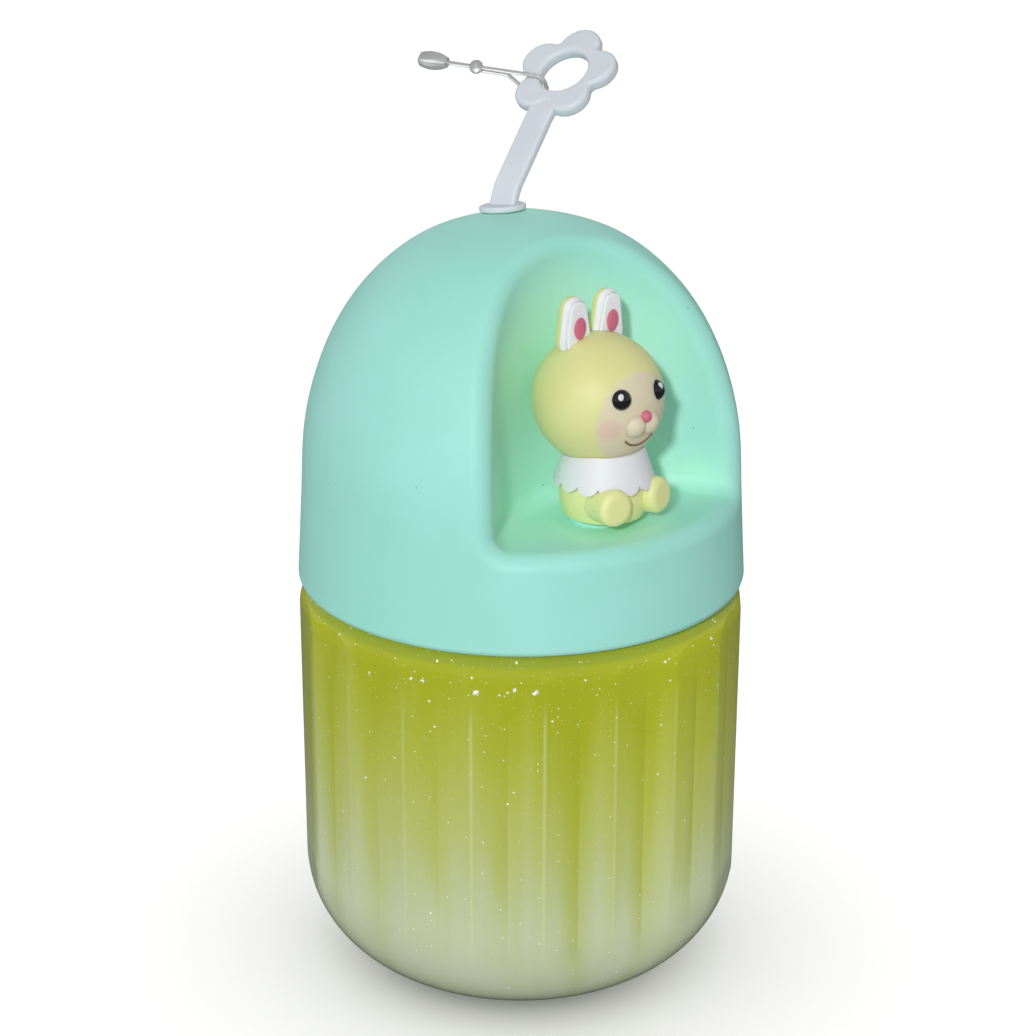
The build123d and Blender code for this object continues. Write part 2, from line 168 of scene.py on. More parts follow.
# %% A recipe for moulded plastic and rubber
def moulded(name, colour, drift, rough, mould_grain, depth, scatter=0.0, ior=1.49):
    """Moulded surface: colour and drift are hex, mould_grain and depth are millimetres."""
    material, tree, output = new_material(name)
    place = add(tree, "TexCoord").outputs["Object"]
    slow = soft_step(tree, grain(tree, place, 22.0), 0.35, 0.65)
    fine = grain(tree, place, mould_grain)
    inputs = {
        "Base Color": blended(tree, slow, linear(colour), linear(drift)),
        "Roughness": maths(tree, "MULTIPLY_ADD", fine, 0.16, rough - 0.08),
        "Normal": relief(tree, fine, depth),
        "IOR": ior,
        "Subsurface Weight": scatter,
        "Subsurface Scale": 1.5 * MM,
        "Subsurface Radius": (0.8, 1.0, 0.8),
    }
    shader = add(tree, "BsdfPrincipled", inputs)
    tree.links.new(shader.outputs[0], output.inputs["Surface"])
    return material, tree, shader, place


# %% [markdown]
# ### Polypropylene dome
# The dome is injection-moulded polypropylene in mint, with a satin finish from a lightly blasted
# mould. In the niche, light that bounces between the walls passes through the thin plastic again
# and again and comes out brighter and greener. That bounce light is painted: an Ambient Occlusion
# node paints the colour lighter and greener in the recess. Handling leaves a few pinhead specks of
# dust pressed into the dome, which a Voronoi pattern scatters: a cell is speckled only if its
# random colour is low.

# %% Mint polypropylene with specks
def add_specks(tree, shader, place, spacing, radius, share, colour):
    """Scatter round specks in a share of the cells of a grid of this spacing in millimetres."""
    inputs = {"Vector": place, "Scale": scale_for(spacing), "Randomness": 1.0}
    cells = add(tree, "TexVoronoi", inputs)
    near = soft_step(tree, cells.outputs["Distance"], radius / spacing, 0.5 * radius / spacing)
    chance = add(tree, "SeparateColor", {0: cells.outputs["Color"]}).outputs[0]
    chosen = maths(tree, "LESS_THAN", chance, share)
    lay_over(tree, shader, maths(tree, "MULTIPLY", near, chosen), colour)


mint, tree, shader, place = moulded(
    "mint polypropylene", "#A7E9DE", "#A1E6D7",
    rough=0.54, mould_grain=0.5, depth=0.012, scatter=0.25,
)
recess_occlusion = add(tree, "AmbientOcclusion", {"Distance": 14 * MM}, samples=8).outputs["AO"]
# Painted bounce light: the mint turns lighter and greener where the recess is occluded.
lay_over(tree, shader, soft_step(tree, recess_occlusion, 0.98, 0.5), "#BFFCE4")
add_specks(tree, shader, place, spacing=5.0, radius=0.22, share=0.35, colour="#7DC4B4")
finish_node("lid_shell", mint)

toy_mint, *_ = moulded("mint vinyl foot", "#A6E9DE", "#9FE5D6", 0.45, 0.6, 0.01, scatter=0.1)
finish_node("figure_base", toy_mint)

# %% [markdown]
# ### White polypropylene, silicone and nylon
# The inner cap is natural white polypropylene. Gasket and plug are silicone rubber, which is milky,
# a little cloudy with dust, and lets light in some way. The tag pin is clear nylon drawn so thin
# that it looks grey.

# %% Cap, gasket, plug and pin
cap_white, *_ = moulded("white polypropylene", "#E9ECEC", "#E3E8E8", 0.38, 0.5, 0.01, scatter=0.1)
finish_node("lid_cap", cap_white)

silicone_ior = 1.41
seal, *_ = moulded(
    "milky silicone seal", "#DDE3E4", "#D2DADC", 0.5, 0.4, 0.01, scatter=0.4, ior=silicone_ior
)
finish_node("lid_gasket", seal)

plug, *_ = moulded(
    "milky silicone plug", "#D9DFE6", "#D0D7DF", 0.46, 0.35, 0.012, scatter=0.3, ior=silicone_ior
)
finish_node("straw_plug", plug)

nylon, tree, shader, _ = moulded("clear nylon", "#E0E1E0", "#C6C8C6", 0.3, 0.3, 0.01, ior=1.53)
shader.inputs["Transmission Weight"].default_value = 0.5
finish_node("tag_pin", nylon)

# %% [markdown]
# ### Soft vinyl toy
# The rabbit is cast in soft vinyl, matt and slightly translucent, with sprayed colour. Its parts
# get one recipe in different colours. The eyes are glossy black beads.

# %% Vinyl colours
vinyl = {}
for name, colour, drift in (
    ("white", "#EAECF0", "#E2E5EA"),
    ("snow white", "#F8FDFF", "#F0F7FD"),
    ("pink", "#DC7793", "#D46A88"),
    ("cream", "#E6DDC2", "#E0D6B8"),
):
    vinyl[name], *_ = moulded(name + " vinyl", colour, drift, 0.5, 0.45, 0.014, scatter=0.3)

for name in ("figure_cape", "figure_tail"):
    finish_node(name, vinyl["white"])
for name in ("ear_lining_right", "ear_lining_left"):
    finish_node(name, vinyl["snow white"])
finish_node("figure_nose", vinyl["pink"])
finish_node("figure_muzzle", vinyl["cream"])

bead, tree, shader, _ = moulded("black bead", "#101112", "#17181A", 0.12, 0.8, 0.002)
shader.inputs["Coat Weight"].default_value = 1.0
finish_node("figure_eyes", bead)
print("vinyl colours", sorted(vinyl))

# %% [markdown]
# ### Yellow vinyl with sprayed zones
# Head and ears are the same pale yellow, and the body has a copy of it that is painted lighter, to
# lift the shade that the cape casts on it. A mask sprays the face cream, and another sprays the
# front of each ear white. A mask on a ball is easiest as an angle: the dot product of the direction
# from the ball's centre with the direction that the face looks.

# %% Where the rabbit sits and looks
heading = math.radians(7)
head_low, head_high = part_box("figure_head")
head_centre = (head_low + head_high) / 2
head_radius = (head_high.z - head_low.z) / 2
toy = Matrix.Translation(head_centre) @ Matrix.Rotation(heading, 4, "Z")
ahead = toy.to_3x3() @ Vector((0, -1, 0))
print("head centre in mm", [round(v / MM, 2) for v in head_centre])
print("head radius in mm", round(head_radius / MM, 2))


# %% Yellow vinyl, plain and with the sprayed face
def yellow_vinyl(name, colour="#E5E5A2", drift="#E0E09A"):
    """The toy's vinyl in a pale yellow; head and ears take the default one."""
    return moulded(name, colour, drift, 0.5, 0.45, 0.014, scatter=0.3)


def angle_from(tree, place, centre, direction):
    """Cosine of the angle between a direction and each point as seen from a centre."""
    inputs = {0: place, 1: centre}
    outward = add(tree, "VectorMath", inputs, operation="SUBTRACT").outputs[0]
    outward = add(tree, "VectorMath", {0: outward}, operation="NORMALIZE").outputs[0]
    inputs = {0: outward, 1: direction}
    return add(tree, "VectorMath", inputs, operation="DOT_PRODUCT").outputs["Value"]


# Painted light: the body's yellow is lighter than the head's, to lift the shade under the cape.
yellow, *_ = yellow_vinyl("yellow vinyl", "#EAEFAB", "#E4EAA2")
finish_node("figure_body", yellow)

face, tree, shader, place = yellow_vinyl("yellow vinyl with a cream face")
look = toy.to_3x3() @ Matrix.Rotation(math.radians(9), 3, "X") @ Vector((0, -1, 0))
edge = maths(tree, "MULTIPLY_ADD", grain(tree, place, 1.6), 0.04, -0.02)
cosine = maths(tree, "ADD", angle_from(tree, place, head_centre, look), edge)
face_edge = math.cos(math.radians(45))
lay_over(tree, shader, soft_step(tree, cosine, face_edge - 0.025, face_edge + 0.025), "#E3DABB")
for side in (-1, 1):
    cheek = toy.to_3x3() @ Vector((side * 0.52, -0.8, -0.2)).normalized()
    cosine = angle_from(tree, place, head_centre, cheek)
    mask = maths(tree, "MULTIPLY", soft_step(tree, cosine, 0.972, 0.999), 0.26)
    lay_over(tree, shader, mask, "#E59AA8")
finish_node("figure_head", face)

ear, tree, shader, place = yellow_vinyl("yellow vinyl with a white front")
inputs = {0: place, 1: ahead}
forward = add(tree, "VectorMath", inputs, operation="DOT_PRODUCT").outputs["Value"]
ear_depth = 2.4
ear_middle = (toy @ Vector((0, ear_depth * MM, 0))).dot(ahead)
mask = soft_step(tree, forward, ear_middle, ear_middle + 0.5 * MM)
lay_over(tree, shader, mask, "#F0F4F8")
for name in ("figure_ear_right", "figure_ear_left"):
    finish_node(name, ear)

# %% [markdown]
# ## Glass jar, lacquered outside
# The jar is pressed soda-lime glass with 20 shallow folds. Outside it carries a sprayed lacquer
# that fades from olive at the shoulder to a grey white at the base, with silver glitter in it.
# Paint and glass are one Principled shader: a mask turns its transmission off where the paint is.
# The mask is made from the distance to a rounded box half-way into the wall, so that the inside and
# the neck stay clear.

# %% Measures of the jar
jar_low, jar_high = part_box("glass_jar")
fold_count = 20
ridge_turn = math.radians(6.3)
fold_angle = 2 * math.pi / fold_count
jar_radius = 39.95
fold_width = jar_radius * fold_angle
heel_inner_radius, heel_height, mid_heel_round = 19.95, 21.4, 18.1
shoulder_inner_radius, shoulder_height, mid_shoulder_round = 34.15, 68.6, 3.8
paint_top = 74.15
key_side_turn = math.radians(222)
wet_turn = math.radians(285)
print("jar height in mm", round((jar_high.z - jar_low.z) / MM, 1))
print("fold width in mm", round(fold_width, 1))

# %% Cylindrical coordinates for the jar
glass, tree, output = new_material("lacquered soda-lime glass")
place = add(tree, "TexCoord").outputs["Object"]
in_mm = add(tree, "VectorMath", {0: place, "Scale": 1 / MM}, operation="SCALE").outputs[0]
split = add(tree, "SeparateXYZ", {0: in_mm})
x, y, z = (split.outputs[i] for i in range(3))
x_square = maths(tree, "MULTIPLY", x, x)
reach = maths(tree, "SQRT", maths(tree, "ADD", x_square, maths(tree, "MULTIPLY", y, y)))
minus_y, minus_x = (maths(tree, "MULTIPLY", value, -1.0) for value in (y, x))
opposite = maths(tree, "ARCTAN2", minus_y, minus_x)
turn = maths(tree, "ADD", opposite, math.pi)
fold = maths(tree, "DIVIDE", maths(tree, "SUBTRACT", turn, ridge_turn), fold_angle)
fold = maths(tree, "FLOORED_MODULO", fold, fold_count)

# %% [markdown]
# ### Which side of the wall
# A point is outside the mid-wall outline if it is further from the centre of a corner's round than
# the round's radius. The heel and the shoulder each have their own round, and the larger of the
# two answers wins. Up where the shoulder turns into the neck, a steep cone inside the wall keeps
# the mask off the jar's inside.

# %% Mask of the painted skin
def beyond_round(inner_radius, inner_height, round_radius, upward):
    """1 where a point is beyond a corner's round; upward is 1 for the shoulder, -1 for the heel."""
    across = maths(tree, "MAXIMUM", maths(tree, "SUBTRACT", reach, inner_radius), 0.0)
    along = maths(tree, "MULTIPLY_ADD", z, upward, -upward * inner_height)
    along = maths(tree, "MAXIMUM", along, 0.0)
    square = maths(tree, "MULTIPLY_ADD", across, across, maths(tree, "MULTIPLY", along, along))
    return maths(tree, "GREATER_THAN", square, round_radius**2)


beyond_heel = beyond_round(heel_inner_radius, heel_height, mid_heel_round, -1)
beyond_shoulder = beyond_round(shoulder_inner_radius, shoulder_height, mid_shoulder_round, 1)
skin = maths(tree, "MAXIMUM", beyond_heel, beyond_shoulder)
below_neck = maths(tree, "LESS_THAN", z, paint_top)
cone_slope, cone_drop, cone_foot = 3, 28.0, 40.0
cone = maths(tree, "SUBTRACT", maths(tree, "MULTIPLY", reach, cone_slope), z)
outside_mouth = maths(tree, "GREATER_THAN", cone, cone_drop)
outside_mouth = maths(tree, "MAXIMUM", outside_mouth, maths(tree, "LESS_THAN", z, cone_foot))
skin = maths(tree, "MULTIPLY", maths(tree, "MULTIPLY", skin, below_neck), outside_mouth)

# %% [markdown]
# ### The fade and its runs
# The wet lacquer ran down in the valleys and left the ridges early, so the edge of the olive is a
# row of tongues, one in each valley, of uneven length. A random number per valley sets the length,
# and noise that is stretched along the height loosens the edge. The noise reads the place in space
# and not the unrolled wall, so it has no seam. On the wet side, a quarter of the jar, the lacquer
# ran down the ridges too. The side turned away from the key lamp is painted lighter, as painted
# light that evens out the jar's shading there.

# %% Fade from olive to grey white
around = maths(tree, "MULTIPLY", turn, jar_radius)
from_ridge = maths(tree, "MULTIPLY", maths(tree, "PINGPONG", fold, 0.5), fold_width)


def chance_for(number, seed):
    """Random number from 0 to 1 for each whole number."""
    whole = maths(tree, "ADD", maths(tree, "FLOOR", number), seed)
    return add(tree, "TexWhiteNoise", {"W": whole}, noise_dimensions="1D").outputs[0]


tongue_seed = 1737.0
tongue_least, tongue_most, tongue_spread = 4.5, 14.0, 12.5
ridge_run = 6.5
loose_by = 24.0
fade_foot, fade_length = 25.0, 62.0
tongue = maths(tree, "MULTIPLY_ADD", chance_for(fold, tongue_seed), tongue_spread, tongue_least)
tongue = maths(tree, "MINIMUM", tongue, tongue_most)
tongue = maths(tree, "MULTIPLY", tongue, soft_step(tree, from_ridge, 0.4, 5.9))
near_wet_side = maths(tree, "COSINE", maths(tree, "SUBTRACT", turn, wet_turn))
run_down = maths(tree, "MULTIPLY", soft_step(tree, near_wet_side, 0.62, 0.70), ridge_run)
tongue = maths(tree, "MAXIMUM", tongue, run_down)
stretched = add(tree, "CombineXYZ", {0: x, 1: y, 2: maths(tree, "MULTIPLY", z, 0.12)}).outputs[0]
loose = add(tree, "TexNoise", {"Vector": stretched, "Scale": 0.2, "Detail": 3.0}).outputs["Fac"]
height = maths(tree, "MULTIPLY_ADD", loose, loose_by, maths(tree, "ADD", z, tongue))
level = maths(tree, "DIVIDE", maths(tree, "SUBTRACT", height, fade_foot), fade_length)
fade = add(tree, "ValToRGB", {0: level})
stops = fade.color_ramp.elements
for _ in range(3):
    stops.new(0.5)
for stop, (position, colour) in zip(
    stops,
    ((0.02, "#CDD5B8"), (0.25, "#C5CFA4"), (0.50, "#BCC674"), (0.74, "#B4BD4A"), (0.96, "#ABB428")),
):
    stop.position = position
    stop.color = linear(colour)
# Painted light: away from the key lamp's side the paint is lifted by up to a quarter in value.
near_key_side = maths(tree, "COSINE", maths(tree, "SUBTRACT", turn, key_side_turn))
away_from_key = maths(tree, "SUBTRACT", 1.0, near_key_side)
lift_away_from_key = maths(tree, "MULTIPLY_ADD", soft_step(tree, away_from_key, 0.03, 0.5), 0.26, 1.0)
paint = add(tree, "HueSaturation", {"Color": fade.outputs[0], "Value": lift_away_from_key}).outputs[0]

# %% [markdown]
# ### Ridges, valleys and glitter
# A ridge gets a painted highlight as a hairline, and each fold gets painted shade that darkens and
# yellows it as it nears its valley, as far down as the olive goes. Not every fold shows it equally,
# so the random number of the fold weakens both. Under the lid the shoulder has a duller band of
# painted shade. The glitter is cut foil of a quarter of a millimetre: the unrolled wall is covered
# with cells in which some hold a flake, in three sizes, painted near-white for their glints, and
# the smallest flakes lie deeper in the lacquer and shine less.

# %% Lines and flakes
sweep = maths(tree, "FLOORED_MODULO", maths(tree, "ADD", fold, 0.5), fold_count)
saw = maths(tree, "FRACT", sweep)
show_seed = 3361.0
fold_chance = chance_for(sweep, show_seed)
in_wall = soft_step(tree, maths(tree, "ABSOLUTE", maths(tree, "SUBTRACT", z, 40.0)), 27.0, 20.0)
seen_fold = maths(tree, "MULTIPLY", in_wall, maths(tree, "MULTIPLY_ADD", fold_chance, 0.7, 0.3))
# Painted highlight: a pale hairline along each ridge.
hairline_highlight = soft_step(tree, from_ridge, 0.42, 0.12)
ridge_highlight = maths(tree, "MULTIPLY", hairline_highlight, maths(tree, "MULTIPLY", seen_fold, 0.42))
# Painted shade: each fold darkens and yellows towards its valley.
valley_ramp = maths(tree, "POWER", saw, 2.5)
valley_shade = maths(tree, "MULTIPLY", valley_ramp, maths(tree, "MULTIPLY", seen_fold, 0.55))
in_olive = maths(tree, "MULTIPLY_ADD", soft_step(tree, level, 0.12, 0.5), 0.8, 0.2)
valley_shade = maths(tree, "MULTIPLY", valley_shade, in_olive)
paint = blended(tree, valley_shade, paint, linear("#A5B02A"))
paint = blended(tree, ridge_highlight, paint, linear("#D6DDA8"))
# Painted shade: a duller band on the shoulder under the lid's rim.
lid_shade_band = maths(tree, "MULTIPLY", soft_step(tree, z, 71.6, 72.4), 0.5)
paint = blended(tree, lid_shade_band, paint, linear("#96A340"))

unrolled = add(tree, "CombineXYZ", {0: around, 1: z, 2: 0.0}).outputs[0]
more_above = maths(tree, "MULTIPLY_ADD", soft_step(tree, z, 45.0, 66.0), 0.8, 0.7)
# Real glitter flakes, painted near-white to stand for their glints.
for spacing, radius, share, glint_strength in (
    (1.7, 0.10, 0.28, 0.45),
    (3.2, 0.15, 0.24, 0.9),
    (7.0, 0.24, 0.24, 1.0),
):
    inputs = {"Vector": unrolled, "Scale": 1 / spacing, "Randomness": 1.0}
    cells = add(tree, "TexVoronoi", inputs, voronoi_dimensions="2D")
    near = soft_step(tree, cells.outputs["Distance"], radius / spacing, 0.6 * radius / spacing)
    chance = add(tree, "SeparateColor", {0: cells.outputs["Color"]}).outputs[0]
    limit = maths(tree, "MULTIPLY", more_above, share)
    glitter_glint = maths(tree, "MULTIPLY", near, maths(tree, "LESS_THAN", chance, limit))
    paint = blended(tree, maths(tree, "MULTIPLY", glitter_glint, glint_strength), paint, linear("#FDFFF2"))

# %% [markdown]
# ### Painted highlights at the tops of the ridges
# A few spots of pure white are painted where the ridges start below the shoulder, as painted
# highlights. Each is a place on the unrolled wall, as a turn in degrees, a height and a radius in
# millimetres, and noise makes their outline uneven.

# %% Painted highlights at the ridge tops
highlight_edge = maths(tree, "MULTIPLY_ADD", grain(tree, place, 0.5, 3.0), 1.5, -0.75)
for degrees, highlight_height, radius in (
    (223.5, 67.8, 0.44), (232.9, 68.3, 0.3), (238.0, 68.0, 0.46), (206.7, 68.4, 0.22),
    (209.6, 68.4, 0.26), (229.0, 67.3, 0.18), (272.5, 69.9, 0.24), (290.7, 70.2, 0.28),
    (250.5, 69.4, 0.16), (338.0, 68.2, 0.4), (28.0, 68.0, 0.5), (84.0, 68.4, 0.35),
    (131.0, 67.9, 0.5), (166.0, 68.6, 0.3),
):
    across = maths(tree, "SUBTRACT", around, math.radians(degrees) * jar_radius)
    rise = maths(tree, "SUBTRACT", z, highlight_height)
    square = maths(tree, "MULTIPLY_ADD", rise, rise, maths(tree, "MULTIPLY", across, across))
    away = maths(tree, "SQRT", square)
    # Painted highlight: a spot of pure white.
    painted_highlight = soft_step(tree, maths(tree, "ADD", away, highlight_edge), radius + 0.1, radius - 0.1)
    paint = blended(tree, painted_highlight, paint, linear("#FFFFFF"))

# %% [markdown]
# ### Lacquer that levels the folds
# Sprayed lacquer is thinner on a ridge and thicker in a valley, so its surface is rounder than the
# glass under it. The normal is turned most of the way to that of a plain round jar: away from the
# axis on the wall, and away from the centre of the corner's round at the shoulder and the heel.
# Seen from inside the glass, both point the other way.

# %% Normal of the levelled lacquer
at_shoulder = maths(tree, "GREATER_THAN", z, shoulder_height)
step_out = shoulder_inner_radius - heel_inner_radius
round_centre = maths(tree, "MULTIPLY_ADD", at_shoulder, step_out, heel_inner_radius)
per_reach = maths(tree, "DIVIDE", maths(tree, "SUBTRACT", reach, round_centre), reach)
below = maths(tree, "MINIMUM", maths(tree, "SUBTRACT", z, heel_height), 0.0)
above = maths(tree, "MAXIMUM", maths(tree, "SUBTRACT", z, shoulder_height), 0.0)
parts = {0: maths(tree, "MULTIPLY", x, per_reach), 1: maths(tree, "MULTIPLY", y, per_reach)}
parts[2] = maths(tree, "ADD", below, above)
plain = add(tree, "CombineXYZ", parts).outputs[0]
plain = add(tree, "VectorMath", {0: plain}, operation="NORMALIZE").outputs[0]
geometry = add(tree, "NewGeometry")
true_normal = geometry.outputs["Normal"]
from_inside = geometry.outputs["Backfacing"]
facing = maths(tree, "MULTIPLY_ADD", from_inside, -2.0, 1.0)
plain = add(tree, "VectorMath", {0: plain, "Scale": facing}, operation="SCALE").outputs[0]
evenness = maths(tree, "MULTIPLY_ADD", soft_step(tree, z, 30.0, 16.0), 0.25, 0.62)
evenness = maths(tree, "MULTIPLY", skin, evenness)
levelled = add(tree, "Mix", {0: evenness, 4: true_normal, 5: plain}, data_type="VECTOR").outputs[1]
levelled = add(tree, "VectorMath", {0: levelled}, operation="NORMALIZE").outputs[0]

# %% [markdown]
# ### One shader for paint and glass
# Clear glass casts no hard shadow in a bright room, but a path tracer finds the light behind it
# slowly. So rays that look for lamps pass straight through the clear parts, by a Transparent shader
# that only shadow rays see. The lacquer is a little translucent, so the inside of the jar is not
# black when the lid is up: rays that look for lamps from inside pass the lacquer at half strength.
# From outside it stops them, so the jar keeps its shadow on the floor.

# %% Finish the glass
clear = maths(tree, "SUBTRACT", 1.0, skin)
inputs = {
    "Base Color": blended(tree, skin, linear("#F4F8F6"), paint),
    "Roughness": 0.035,
    "IOR": 1.52,
    "Transmission Weight": clear,
    "Normal": levelled,
}
shader = add(tree, "BsdfPrincipled", inputs)
lamp_ray = add(tree, "LightPath").outputs["Is Shadow Ray"]
leaving = maths(tree, "MULTIPLY", from_inside, 0.5)
passing = maths(tree, "MULTIPLY", maths(tree, "MAXIMUM", clear, leaving), lamp_ray)
through = add(tree, "BsdfTransparent")
mixed = add(tree, "MixShader", {0: passing, 1: shader.outputs[0], 2: through.outputs[0]})
tree.links.new(mixed.outputs[0], output.inputs["Surface"])
finish_node("glass_jar", glass)

# %% [markdown]
# ## New pieces
# A new piece starts as a bmesh, which is shaped with bmesh operators and then becomes a mesh object
# at the world origin. Its normals are recalculated after its doubles are merged, and it rides on
# the CAD body that it belongs to. The spin and sphere operators make vertices in the same order
# each run, but faces in an order that varies. So the faces are sorted by their vertices, and an
# export lists the same triangles in the same order each time.

# %% Turn a bmesh into a piece
def sort_faces(bm):
    """Put the faces in an order that depends only on their vertices."""
    bm.verts.index_update()
    count = len(bm.verts)

    def rank(face):
        """A number from a face's three lowest vertices, which no other face shares."""
        first, second, third = sorted(vert.index for vert in face.verts)[:3]
        return (first * count + second) * count + third

    bm.faces.sort(key=rank)


def finished(bm, name, material, body):
    """Close, orient and keep a bmesh as an object that rides on a CAD body."""
    bmesh.ops.remove_doubles(bm, verts=bm.verts, dist=0.001 * MM)
    bmesh.ops.recalc_face_normals(bm, faces=bm.faces)
    sort_faces(bm)
    open_edges = sum(not edge.is_manifold for edge in bm.edges)
    mesh = bpy.data.meshes.new(name)
    bm.to_mesh(mesh)
    bm.free()
    mesh.polygons.foreach_set("use_smooth", [True] * len(mesh.polygons))
    mesh.materials.append(material)
    piece = bpy.data.objects.new(name, mesh)
    scene.collection.objects.link(piece)
    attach(piece, body)
    print(name, len(mesh.polygons), "faces,", open_edges, "open edges")


# %% [markdown]
# ### Screw threads
# Neck and cap carry three short lugs each instead of one long thread, as wide-mouthed jars do. A
# lug is a small trapezium spun about the axis while it climbs, which the spin operator's dvec
# does. Its ends sink back into the wall. The climb is the same 12 mm a turn that the lid's joint
# has.

# %% Three thread lugs
thread_lead = 12.0


def thread_lugs(wall, crest, low, sweep, name, material, body):
    """Three lugs from a wall radius to a crest radius that start at a height, in millimetres."""
    steps = 36
    root = wall - math.copysign(0.25, crest - wall)
    half_root = 0.85
    half_crest = 0.35
    bm = bmesh.new()
    corners = ((root, -half_root), (crest, -half_crest), (crest, half_crest), (root, half_root))
    section = bm.faces.new([bm.verts.new((r * MM, 0, (low + h) * MM)) for r, h in corners])
    climb = thread_lead * MM * sweep / (2 * math.pi * steps)
    bmesh.ops.spin(
        bm, geom=[section, *section.edges, *section.verts], cent=(0, 0, 0), axis=(0, 0, 1),
        dvec=(0, 0, climb), angle=sweep, steps=steps, use_merge=False,
    )
    for vert in bm.verts:
        along = math.atan2(vert.co.y, vert.co.x) % (2 * math.pi) / sweep
        ease = min(1.0, 6 * min(along, abs(1 - along)) + 0.05)
        radius = math.hypot(vert.co.x, vert.co.y)
        stretch = (root * MM + (radius - root * MM) * ease) / radius
        vert.co.x *= stretch
        vert.co.y *= stretch
    lug = bm.verts[:] + bm.edges[:] + bm.faces[:]
    for i in (1, 2):
        copy = bmesh.ops.duplicate(bm, geom=lug)["geom"]
        verts = [part for part in copy if isinstance(part, bmesh.types.BMVert)]
        third = Matrix.Rotation(i * 2 * math.pi / 3, 3, "Z")
        bmesh.ops.rotate(bm, verts=verts, cent=(0, 0, 0), matrix=third)
    finished(bm, name, material, body)


clear_glass, tree, output = new_material("clear soda-lime glass")
inputs = {
    "Base Color": linear("#F4F8F6"),
    "Roughness": 0.035,
    "IOR": 1.52,
    "Transmission Weight": 1.0,
}
shader = add(tree, "BsdfPrincipled", inputs)
lamp_ray = add(tree, "LightPath").outputs["Is Shadow Ray"]
through = add(tree, "BsdfTransparent")
mixed = add(tree, "MixShader", {0: lamp_ray, 1: shader.outputs[0], 2: through.outputs[0]})
tree.links.new(mixed.outputs[0], output.inputs["Surface"])

lug_sweep = math.radians(100)
thread_lugs(34.0, 34.85, 78.6, lug_sweep, "neck_thread", clear_glass, "jar")
thread_lugs(35.2, 34.35, 76.6, lug_sweep, "cap_thread", cap_white, "lid")

# %% [markdown]
# ### The rabbit's small features
# Each bead eye has two glints of white paint, and each ear has a pink pad. They are placed in the
# toy's own frame, whose origin is the middle of the head. Each is a flat ellipsoid, partly sunk
# into the ball of its eye or into the lining of its ear.

# %% Glints and pads
def on_head(across, rise, lift=0.0):
    """Point on the front of the head, in the toy's frame and millimetres, lifted off it."""
    radius = head_radius / MM + lift
    return Vector((across, -math.sqrt(radius**2 - across**2 - rise**2), rise))


def pebble(bm, place, outward, size):
    """Ellipsoid at a place, its third axis outward; size is its three half-axes."""
    made = bmesh.ops.create_uvsphere(bm, u_segments=24, v_segments=12, radius=1.0)
    turn = outward.to_track_quat("Z", "X").to_matrix().to_4x4()
    stretch = Matrix.Diagonal((*size, 1.0))
    shape = Matrix.Translation(place) @ turn @ stretch
    scale = Matrix.Scale(MM, 4)
    bmesh.ops.transform(bm, matrix=toy @ scale @ shape, verts=made["verts"])


eye_radius = 1.9
eye_across, eye_rise = 3.9, 2.6
bm = bmesh.new()
for side in (-1, 1):
    eye = on_head(side * eye_across, eye_rise, -eye_radius / 2)
    for across, rise, size in ((-0.30, 0.38, 0.6), (0.22, -0.36, 0.28)):
        outward = (eye.normalized() + Vector((across, 0, rise))).normalized()
        pebble(bm, eye + outward * (eye_radius - 0.03), outward, (size, 0.85 * size, 0.12))
finished(bm, "eye_glints", vinyl["white"], "lid")

bm = bmesh.new()
for side in (-1, 1):
    pad = Vector((side * 3.75, 0.62, 12.5))
    pebble(bm, pad, Vector((0, -1, 0)), (1.9, 1.35, 0.3))
finished(bm, "ear_pads", vinyl["pink"], "lid")

# %% [markdown]
# ### Mouth
# The mouth is a thin line of brown paint, made as a cord bent round the muzzle. A ring of points is
# spun about the line from the head's centre through the muzzle, so every copy stays on the ball.

# %% Mouth
muzzle_way = on_head(0, -2.0).normalized()
mouth_angle = math.radians(22)
mouth_sweep = math.radians(96)
down = (Vector((0, 0, -1)) - muzzle_way * Vector((0, 0, -1)).dot(muzzle_way)).normalized()
start = muzzle_way * math.cos(mouth_angle) + down * math.sin(mouth_angle)
sideways = muzzle_way.cross(down)
bm = bmesh.new()
ring = bmesh.ops.create_circle(bm, cap_ends=True, segments=10, radius=0.19 * MM)["verts"]
to_start = sideways.to_track_quat("Z", "Y").to_matrix().to_4x4()
bmesh.ops.transform(bm, matrix=Matrix.Translation(start * head_radius) @ to_start, verts=ring)
half_back = Matrix.Rotation(-mouth_sweep / 2, 3, muzzle_way)
bmesh.ops.rotate(bm, verts=ring, cent=(0, 0, 0), matrix=half_back)
bmesh.ops.spin(
    bm, geom=bm.verts[:] + bm.edges[:] + bm.faces[:], cent=(0, 0, 0), axis=muzzle_way,
    angle=mouth_sweep, steps=24, use_merge=False,
)
bmesh.ops.transform(bm, matrix=toy, verts=bm.verts)
brown, *_ = moulded("brown paint", "#8A6A4C", "#7E5F44", 0.5, 0.4, 0.005)
finished(bm, "mouth", brown, "lid")

# %% [markdown]
# ## Studio
# The floor is a large white sheet. For rays that come from the camera it also glows, so that it
# reaches full white away from the object, and an Ambient Occlusion node takes the glow away close
# to the object, where the soft shadow is. The world is a plain white room whose ceiling is a little
# darker than its walls. The key lamp is a sun, small in angle like a flash, and light linking keeps
# it off the floor, because a flash beside the lens hides its own shadow there. A weak sun from
# behind stands for the room's far wall, and gives no highlights.

# %% Floor
paper, tree, output = new_material("white paper sweep")
place = add(tree, "TexCoord").outputs["Object"]
fibre = grain(tree, place, 1.5)
path = add(tree, "LightPath")
tone = blended(tree, fibre, linear("#F2F2F2"), linear("#F4F4F4"))
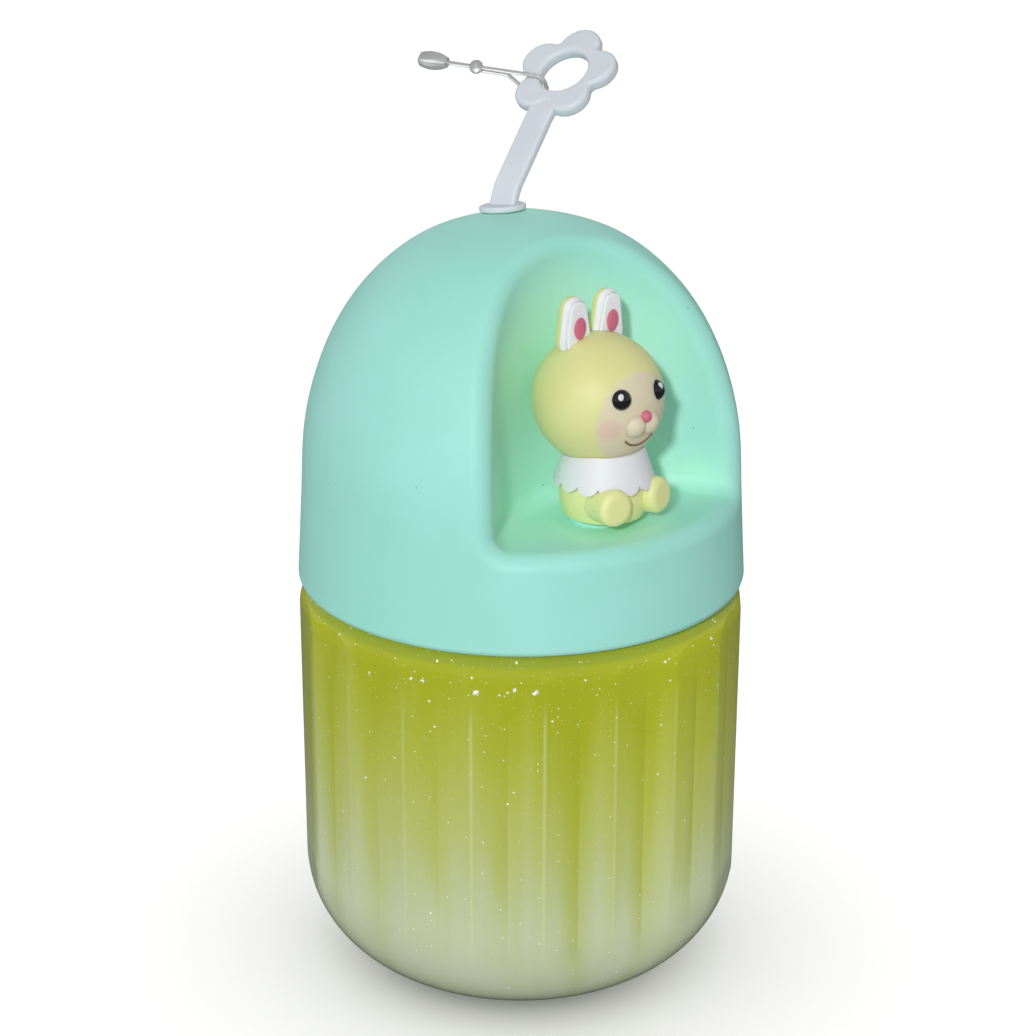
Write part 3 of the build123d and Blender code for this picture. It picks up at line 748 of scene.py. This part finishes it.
# For glossy rays the floor's colour is a painted mid grey, which darkens its reflection in the jar.
inputs = {
    "Base Color": blended(tree, path.outputs["Is Glossy Ray"], tone, linear("#808080")),
    "Roughness": 0.9,
    "Specular IOR Level": 0.1,
}
shader = add(tree, "BsdfPrincipled", inputs)
nearness = add(tree, "AmbientOcclusion", {"Distance": 50 * MM}, samples=16)
open_air = maths(tree, "MULTIPLY_ADD", nearness.outputs["AO"], 0.85, 0.15)
to_camera = maths(tree, "MULTIPLY", path.outputs["Is Camera Ray"], 0.66)
strength = maths(tree, "MULTIPLY", to_camera, open_air)
glow = add(tree, "Emission", {"Color": (1, 1, 1, 1), "Strength": strength})
both = add(tree, "AddShader", {0: shader.outputs[0], 1: glow.outputs[0]})
tree.links.new(both.outputs[0], output.inputs["Surface"])

bm = bmesh.new()
bmesh.ops.create_grid(bm, x_segments=4, y_segments=4, size=4.0)
mesh = bpy.data.meshes.new("floor")
bm.to_mesh(mesh)
bm.free()
mesh.materials.append(paper)
floor = bpy.data.objects.new("floor", mesh)
scene.collection.objects.link(floor)

# %% Room light and key light
room = bpy.data.worlds.new("white room")
scene.world = room
room.use_nodes = True
tree = room.node_tree
tree.nodes.clear()
output = add(tree, "OutputWorld")
path = add(tree, "LightPath")
shown = maths(tree, "MAXIMUM", path.outputs["Is Camera Ray"], path.outputs["Is Transmission Ray"])
upward = add(tree, "SeparateXYZ", {0: add(tree, "TexCoord").outputs["Generated"]}).outputs["Z"]
room_light = maths(tree, "MULTIPLY_ADD", maths(tree, "MAXIMUM", upward, 0.0), -0.2, 0.6)
room_light = maths(tree, "MULTIPLY_ADD", path.outputs["Is Glossy Ray"], -0.22, room_light)
strength = maths(tree, "MAXIMUM", shown, room_light)
inputs = {"Color": (1, 1, 1, 1), "Strength": strength}
tree.links.new(add(tree, "Background", inputs).outputs[0], output.inputs["Surface"])

key_data = bpy.data.lights.new("key", "SUN")
key_data.energy = 1.7
key_data.angle = math.radians(4)
key = bpy.data.objects.new("key", key_data)
scene.collection.objects.link(key)
camera_turn = math.atan2(camera_place.y, camera_place.x)
key_turn = camera_turn - math.radians(11)
key_rise = math.radians(25)
toward = Vector((math.cos(key_turn), math.sin(key_turn), 0)) * math.cos(key_rise)
toward.z = math.sin(key_rise)
key.rotation_euler = toward.to_track_quat("Z", "Y").to_euler()
unlit = bpy.data.collections.new("not lit by the key")
unlit.objects.link(floor)
key.light_linking.receiver_collection = unlit
unlit.collection_objects[0].light_linking.link_state = "EXCLUDE"
print("key light from", [round(v, 2) for v in toward])

back_data = bpy.data.lights.new("back fill", "SUN")
back_data.energy = 0.9
back_data.angle = math.radians(30)
back = bpy.data.objects.new("back fill", back_data)
scene.collection.objects.link(back)
behind = Vector((-camera_place.x, -camera_place.y, 0.2 * camera_place.xy.length))
back.rotation_euler = behind.to_track_quat("Z", "Y").to_euler()
back.visible_glossy = False
back.light_linking.receiver_collection = unlit

# %% [markdown]
# ## View settings
# Standard view keeps a colour as it is written.

# %% Finish
scene.view_settings.view_transform = "Standard"
bpy.context.view_layer.update()
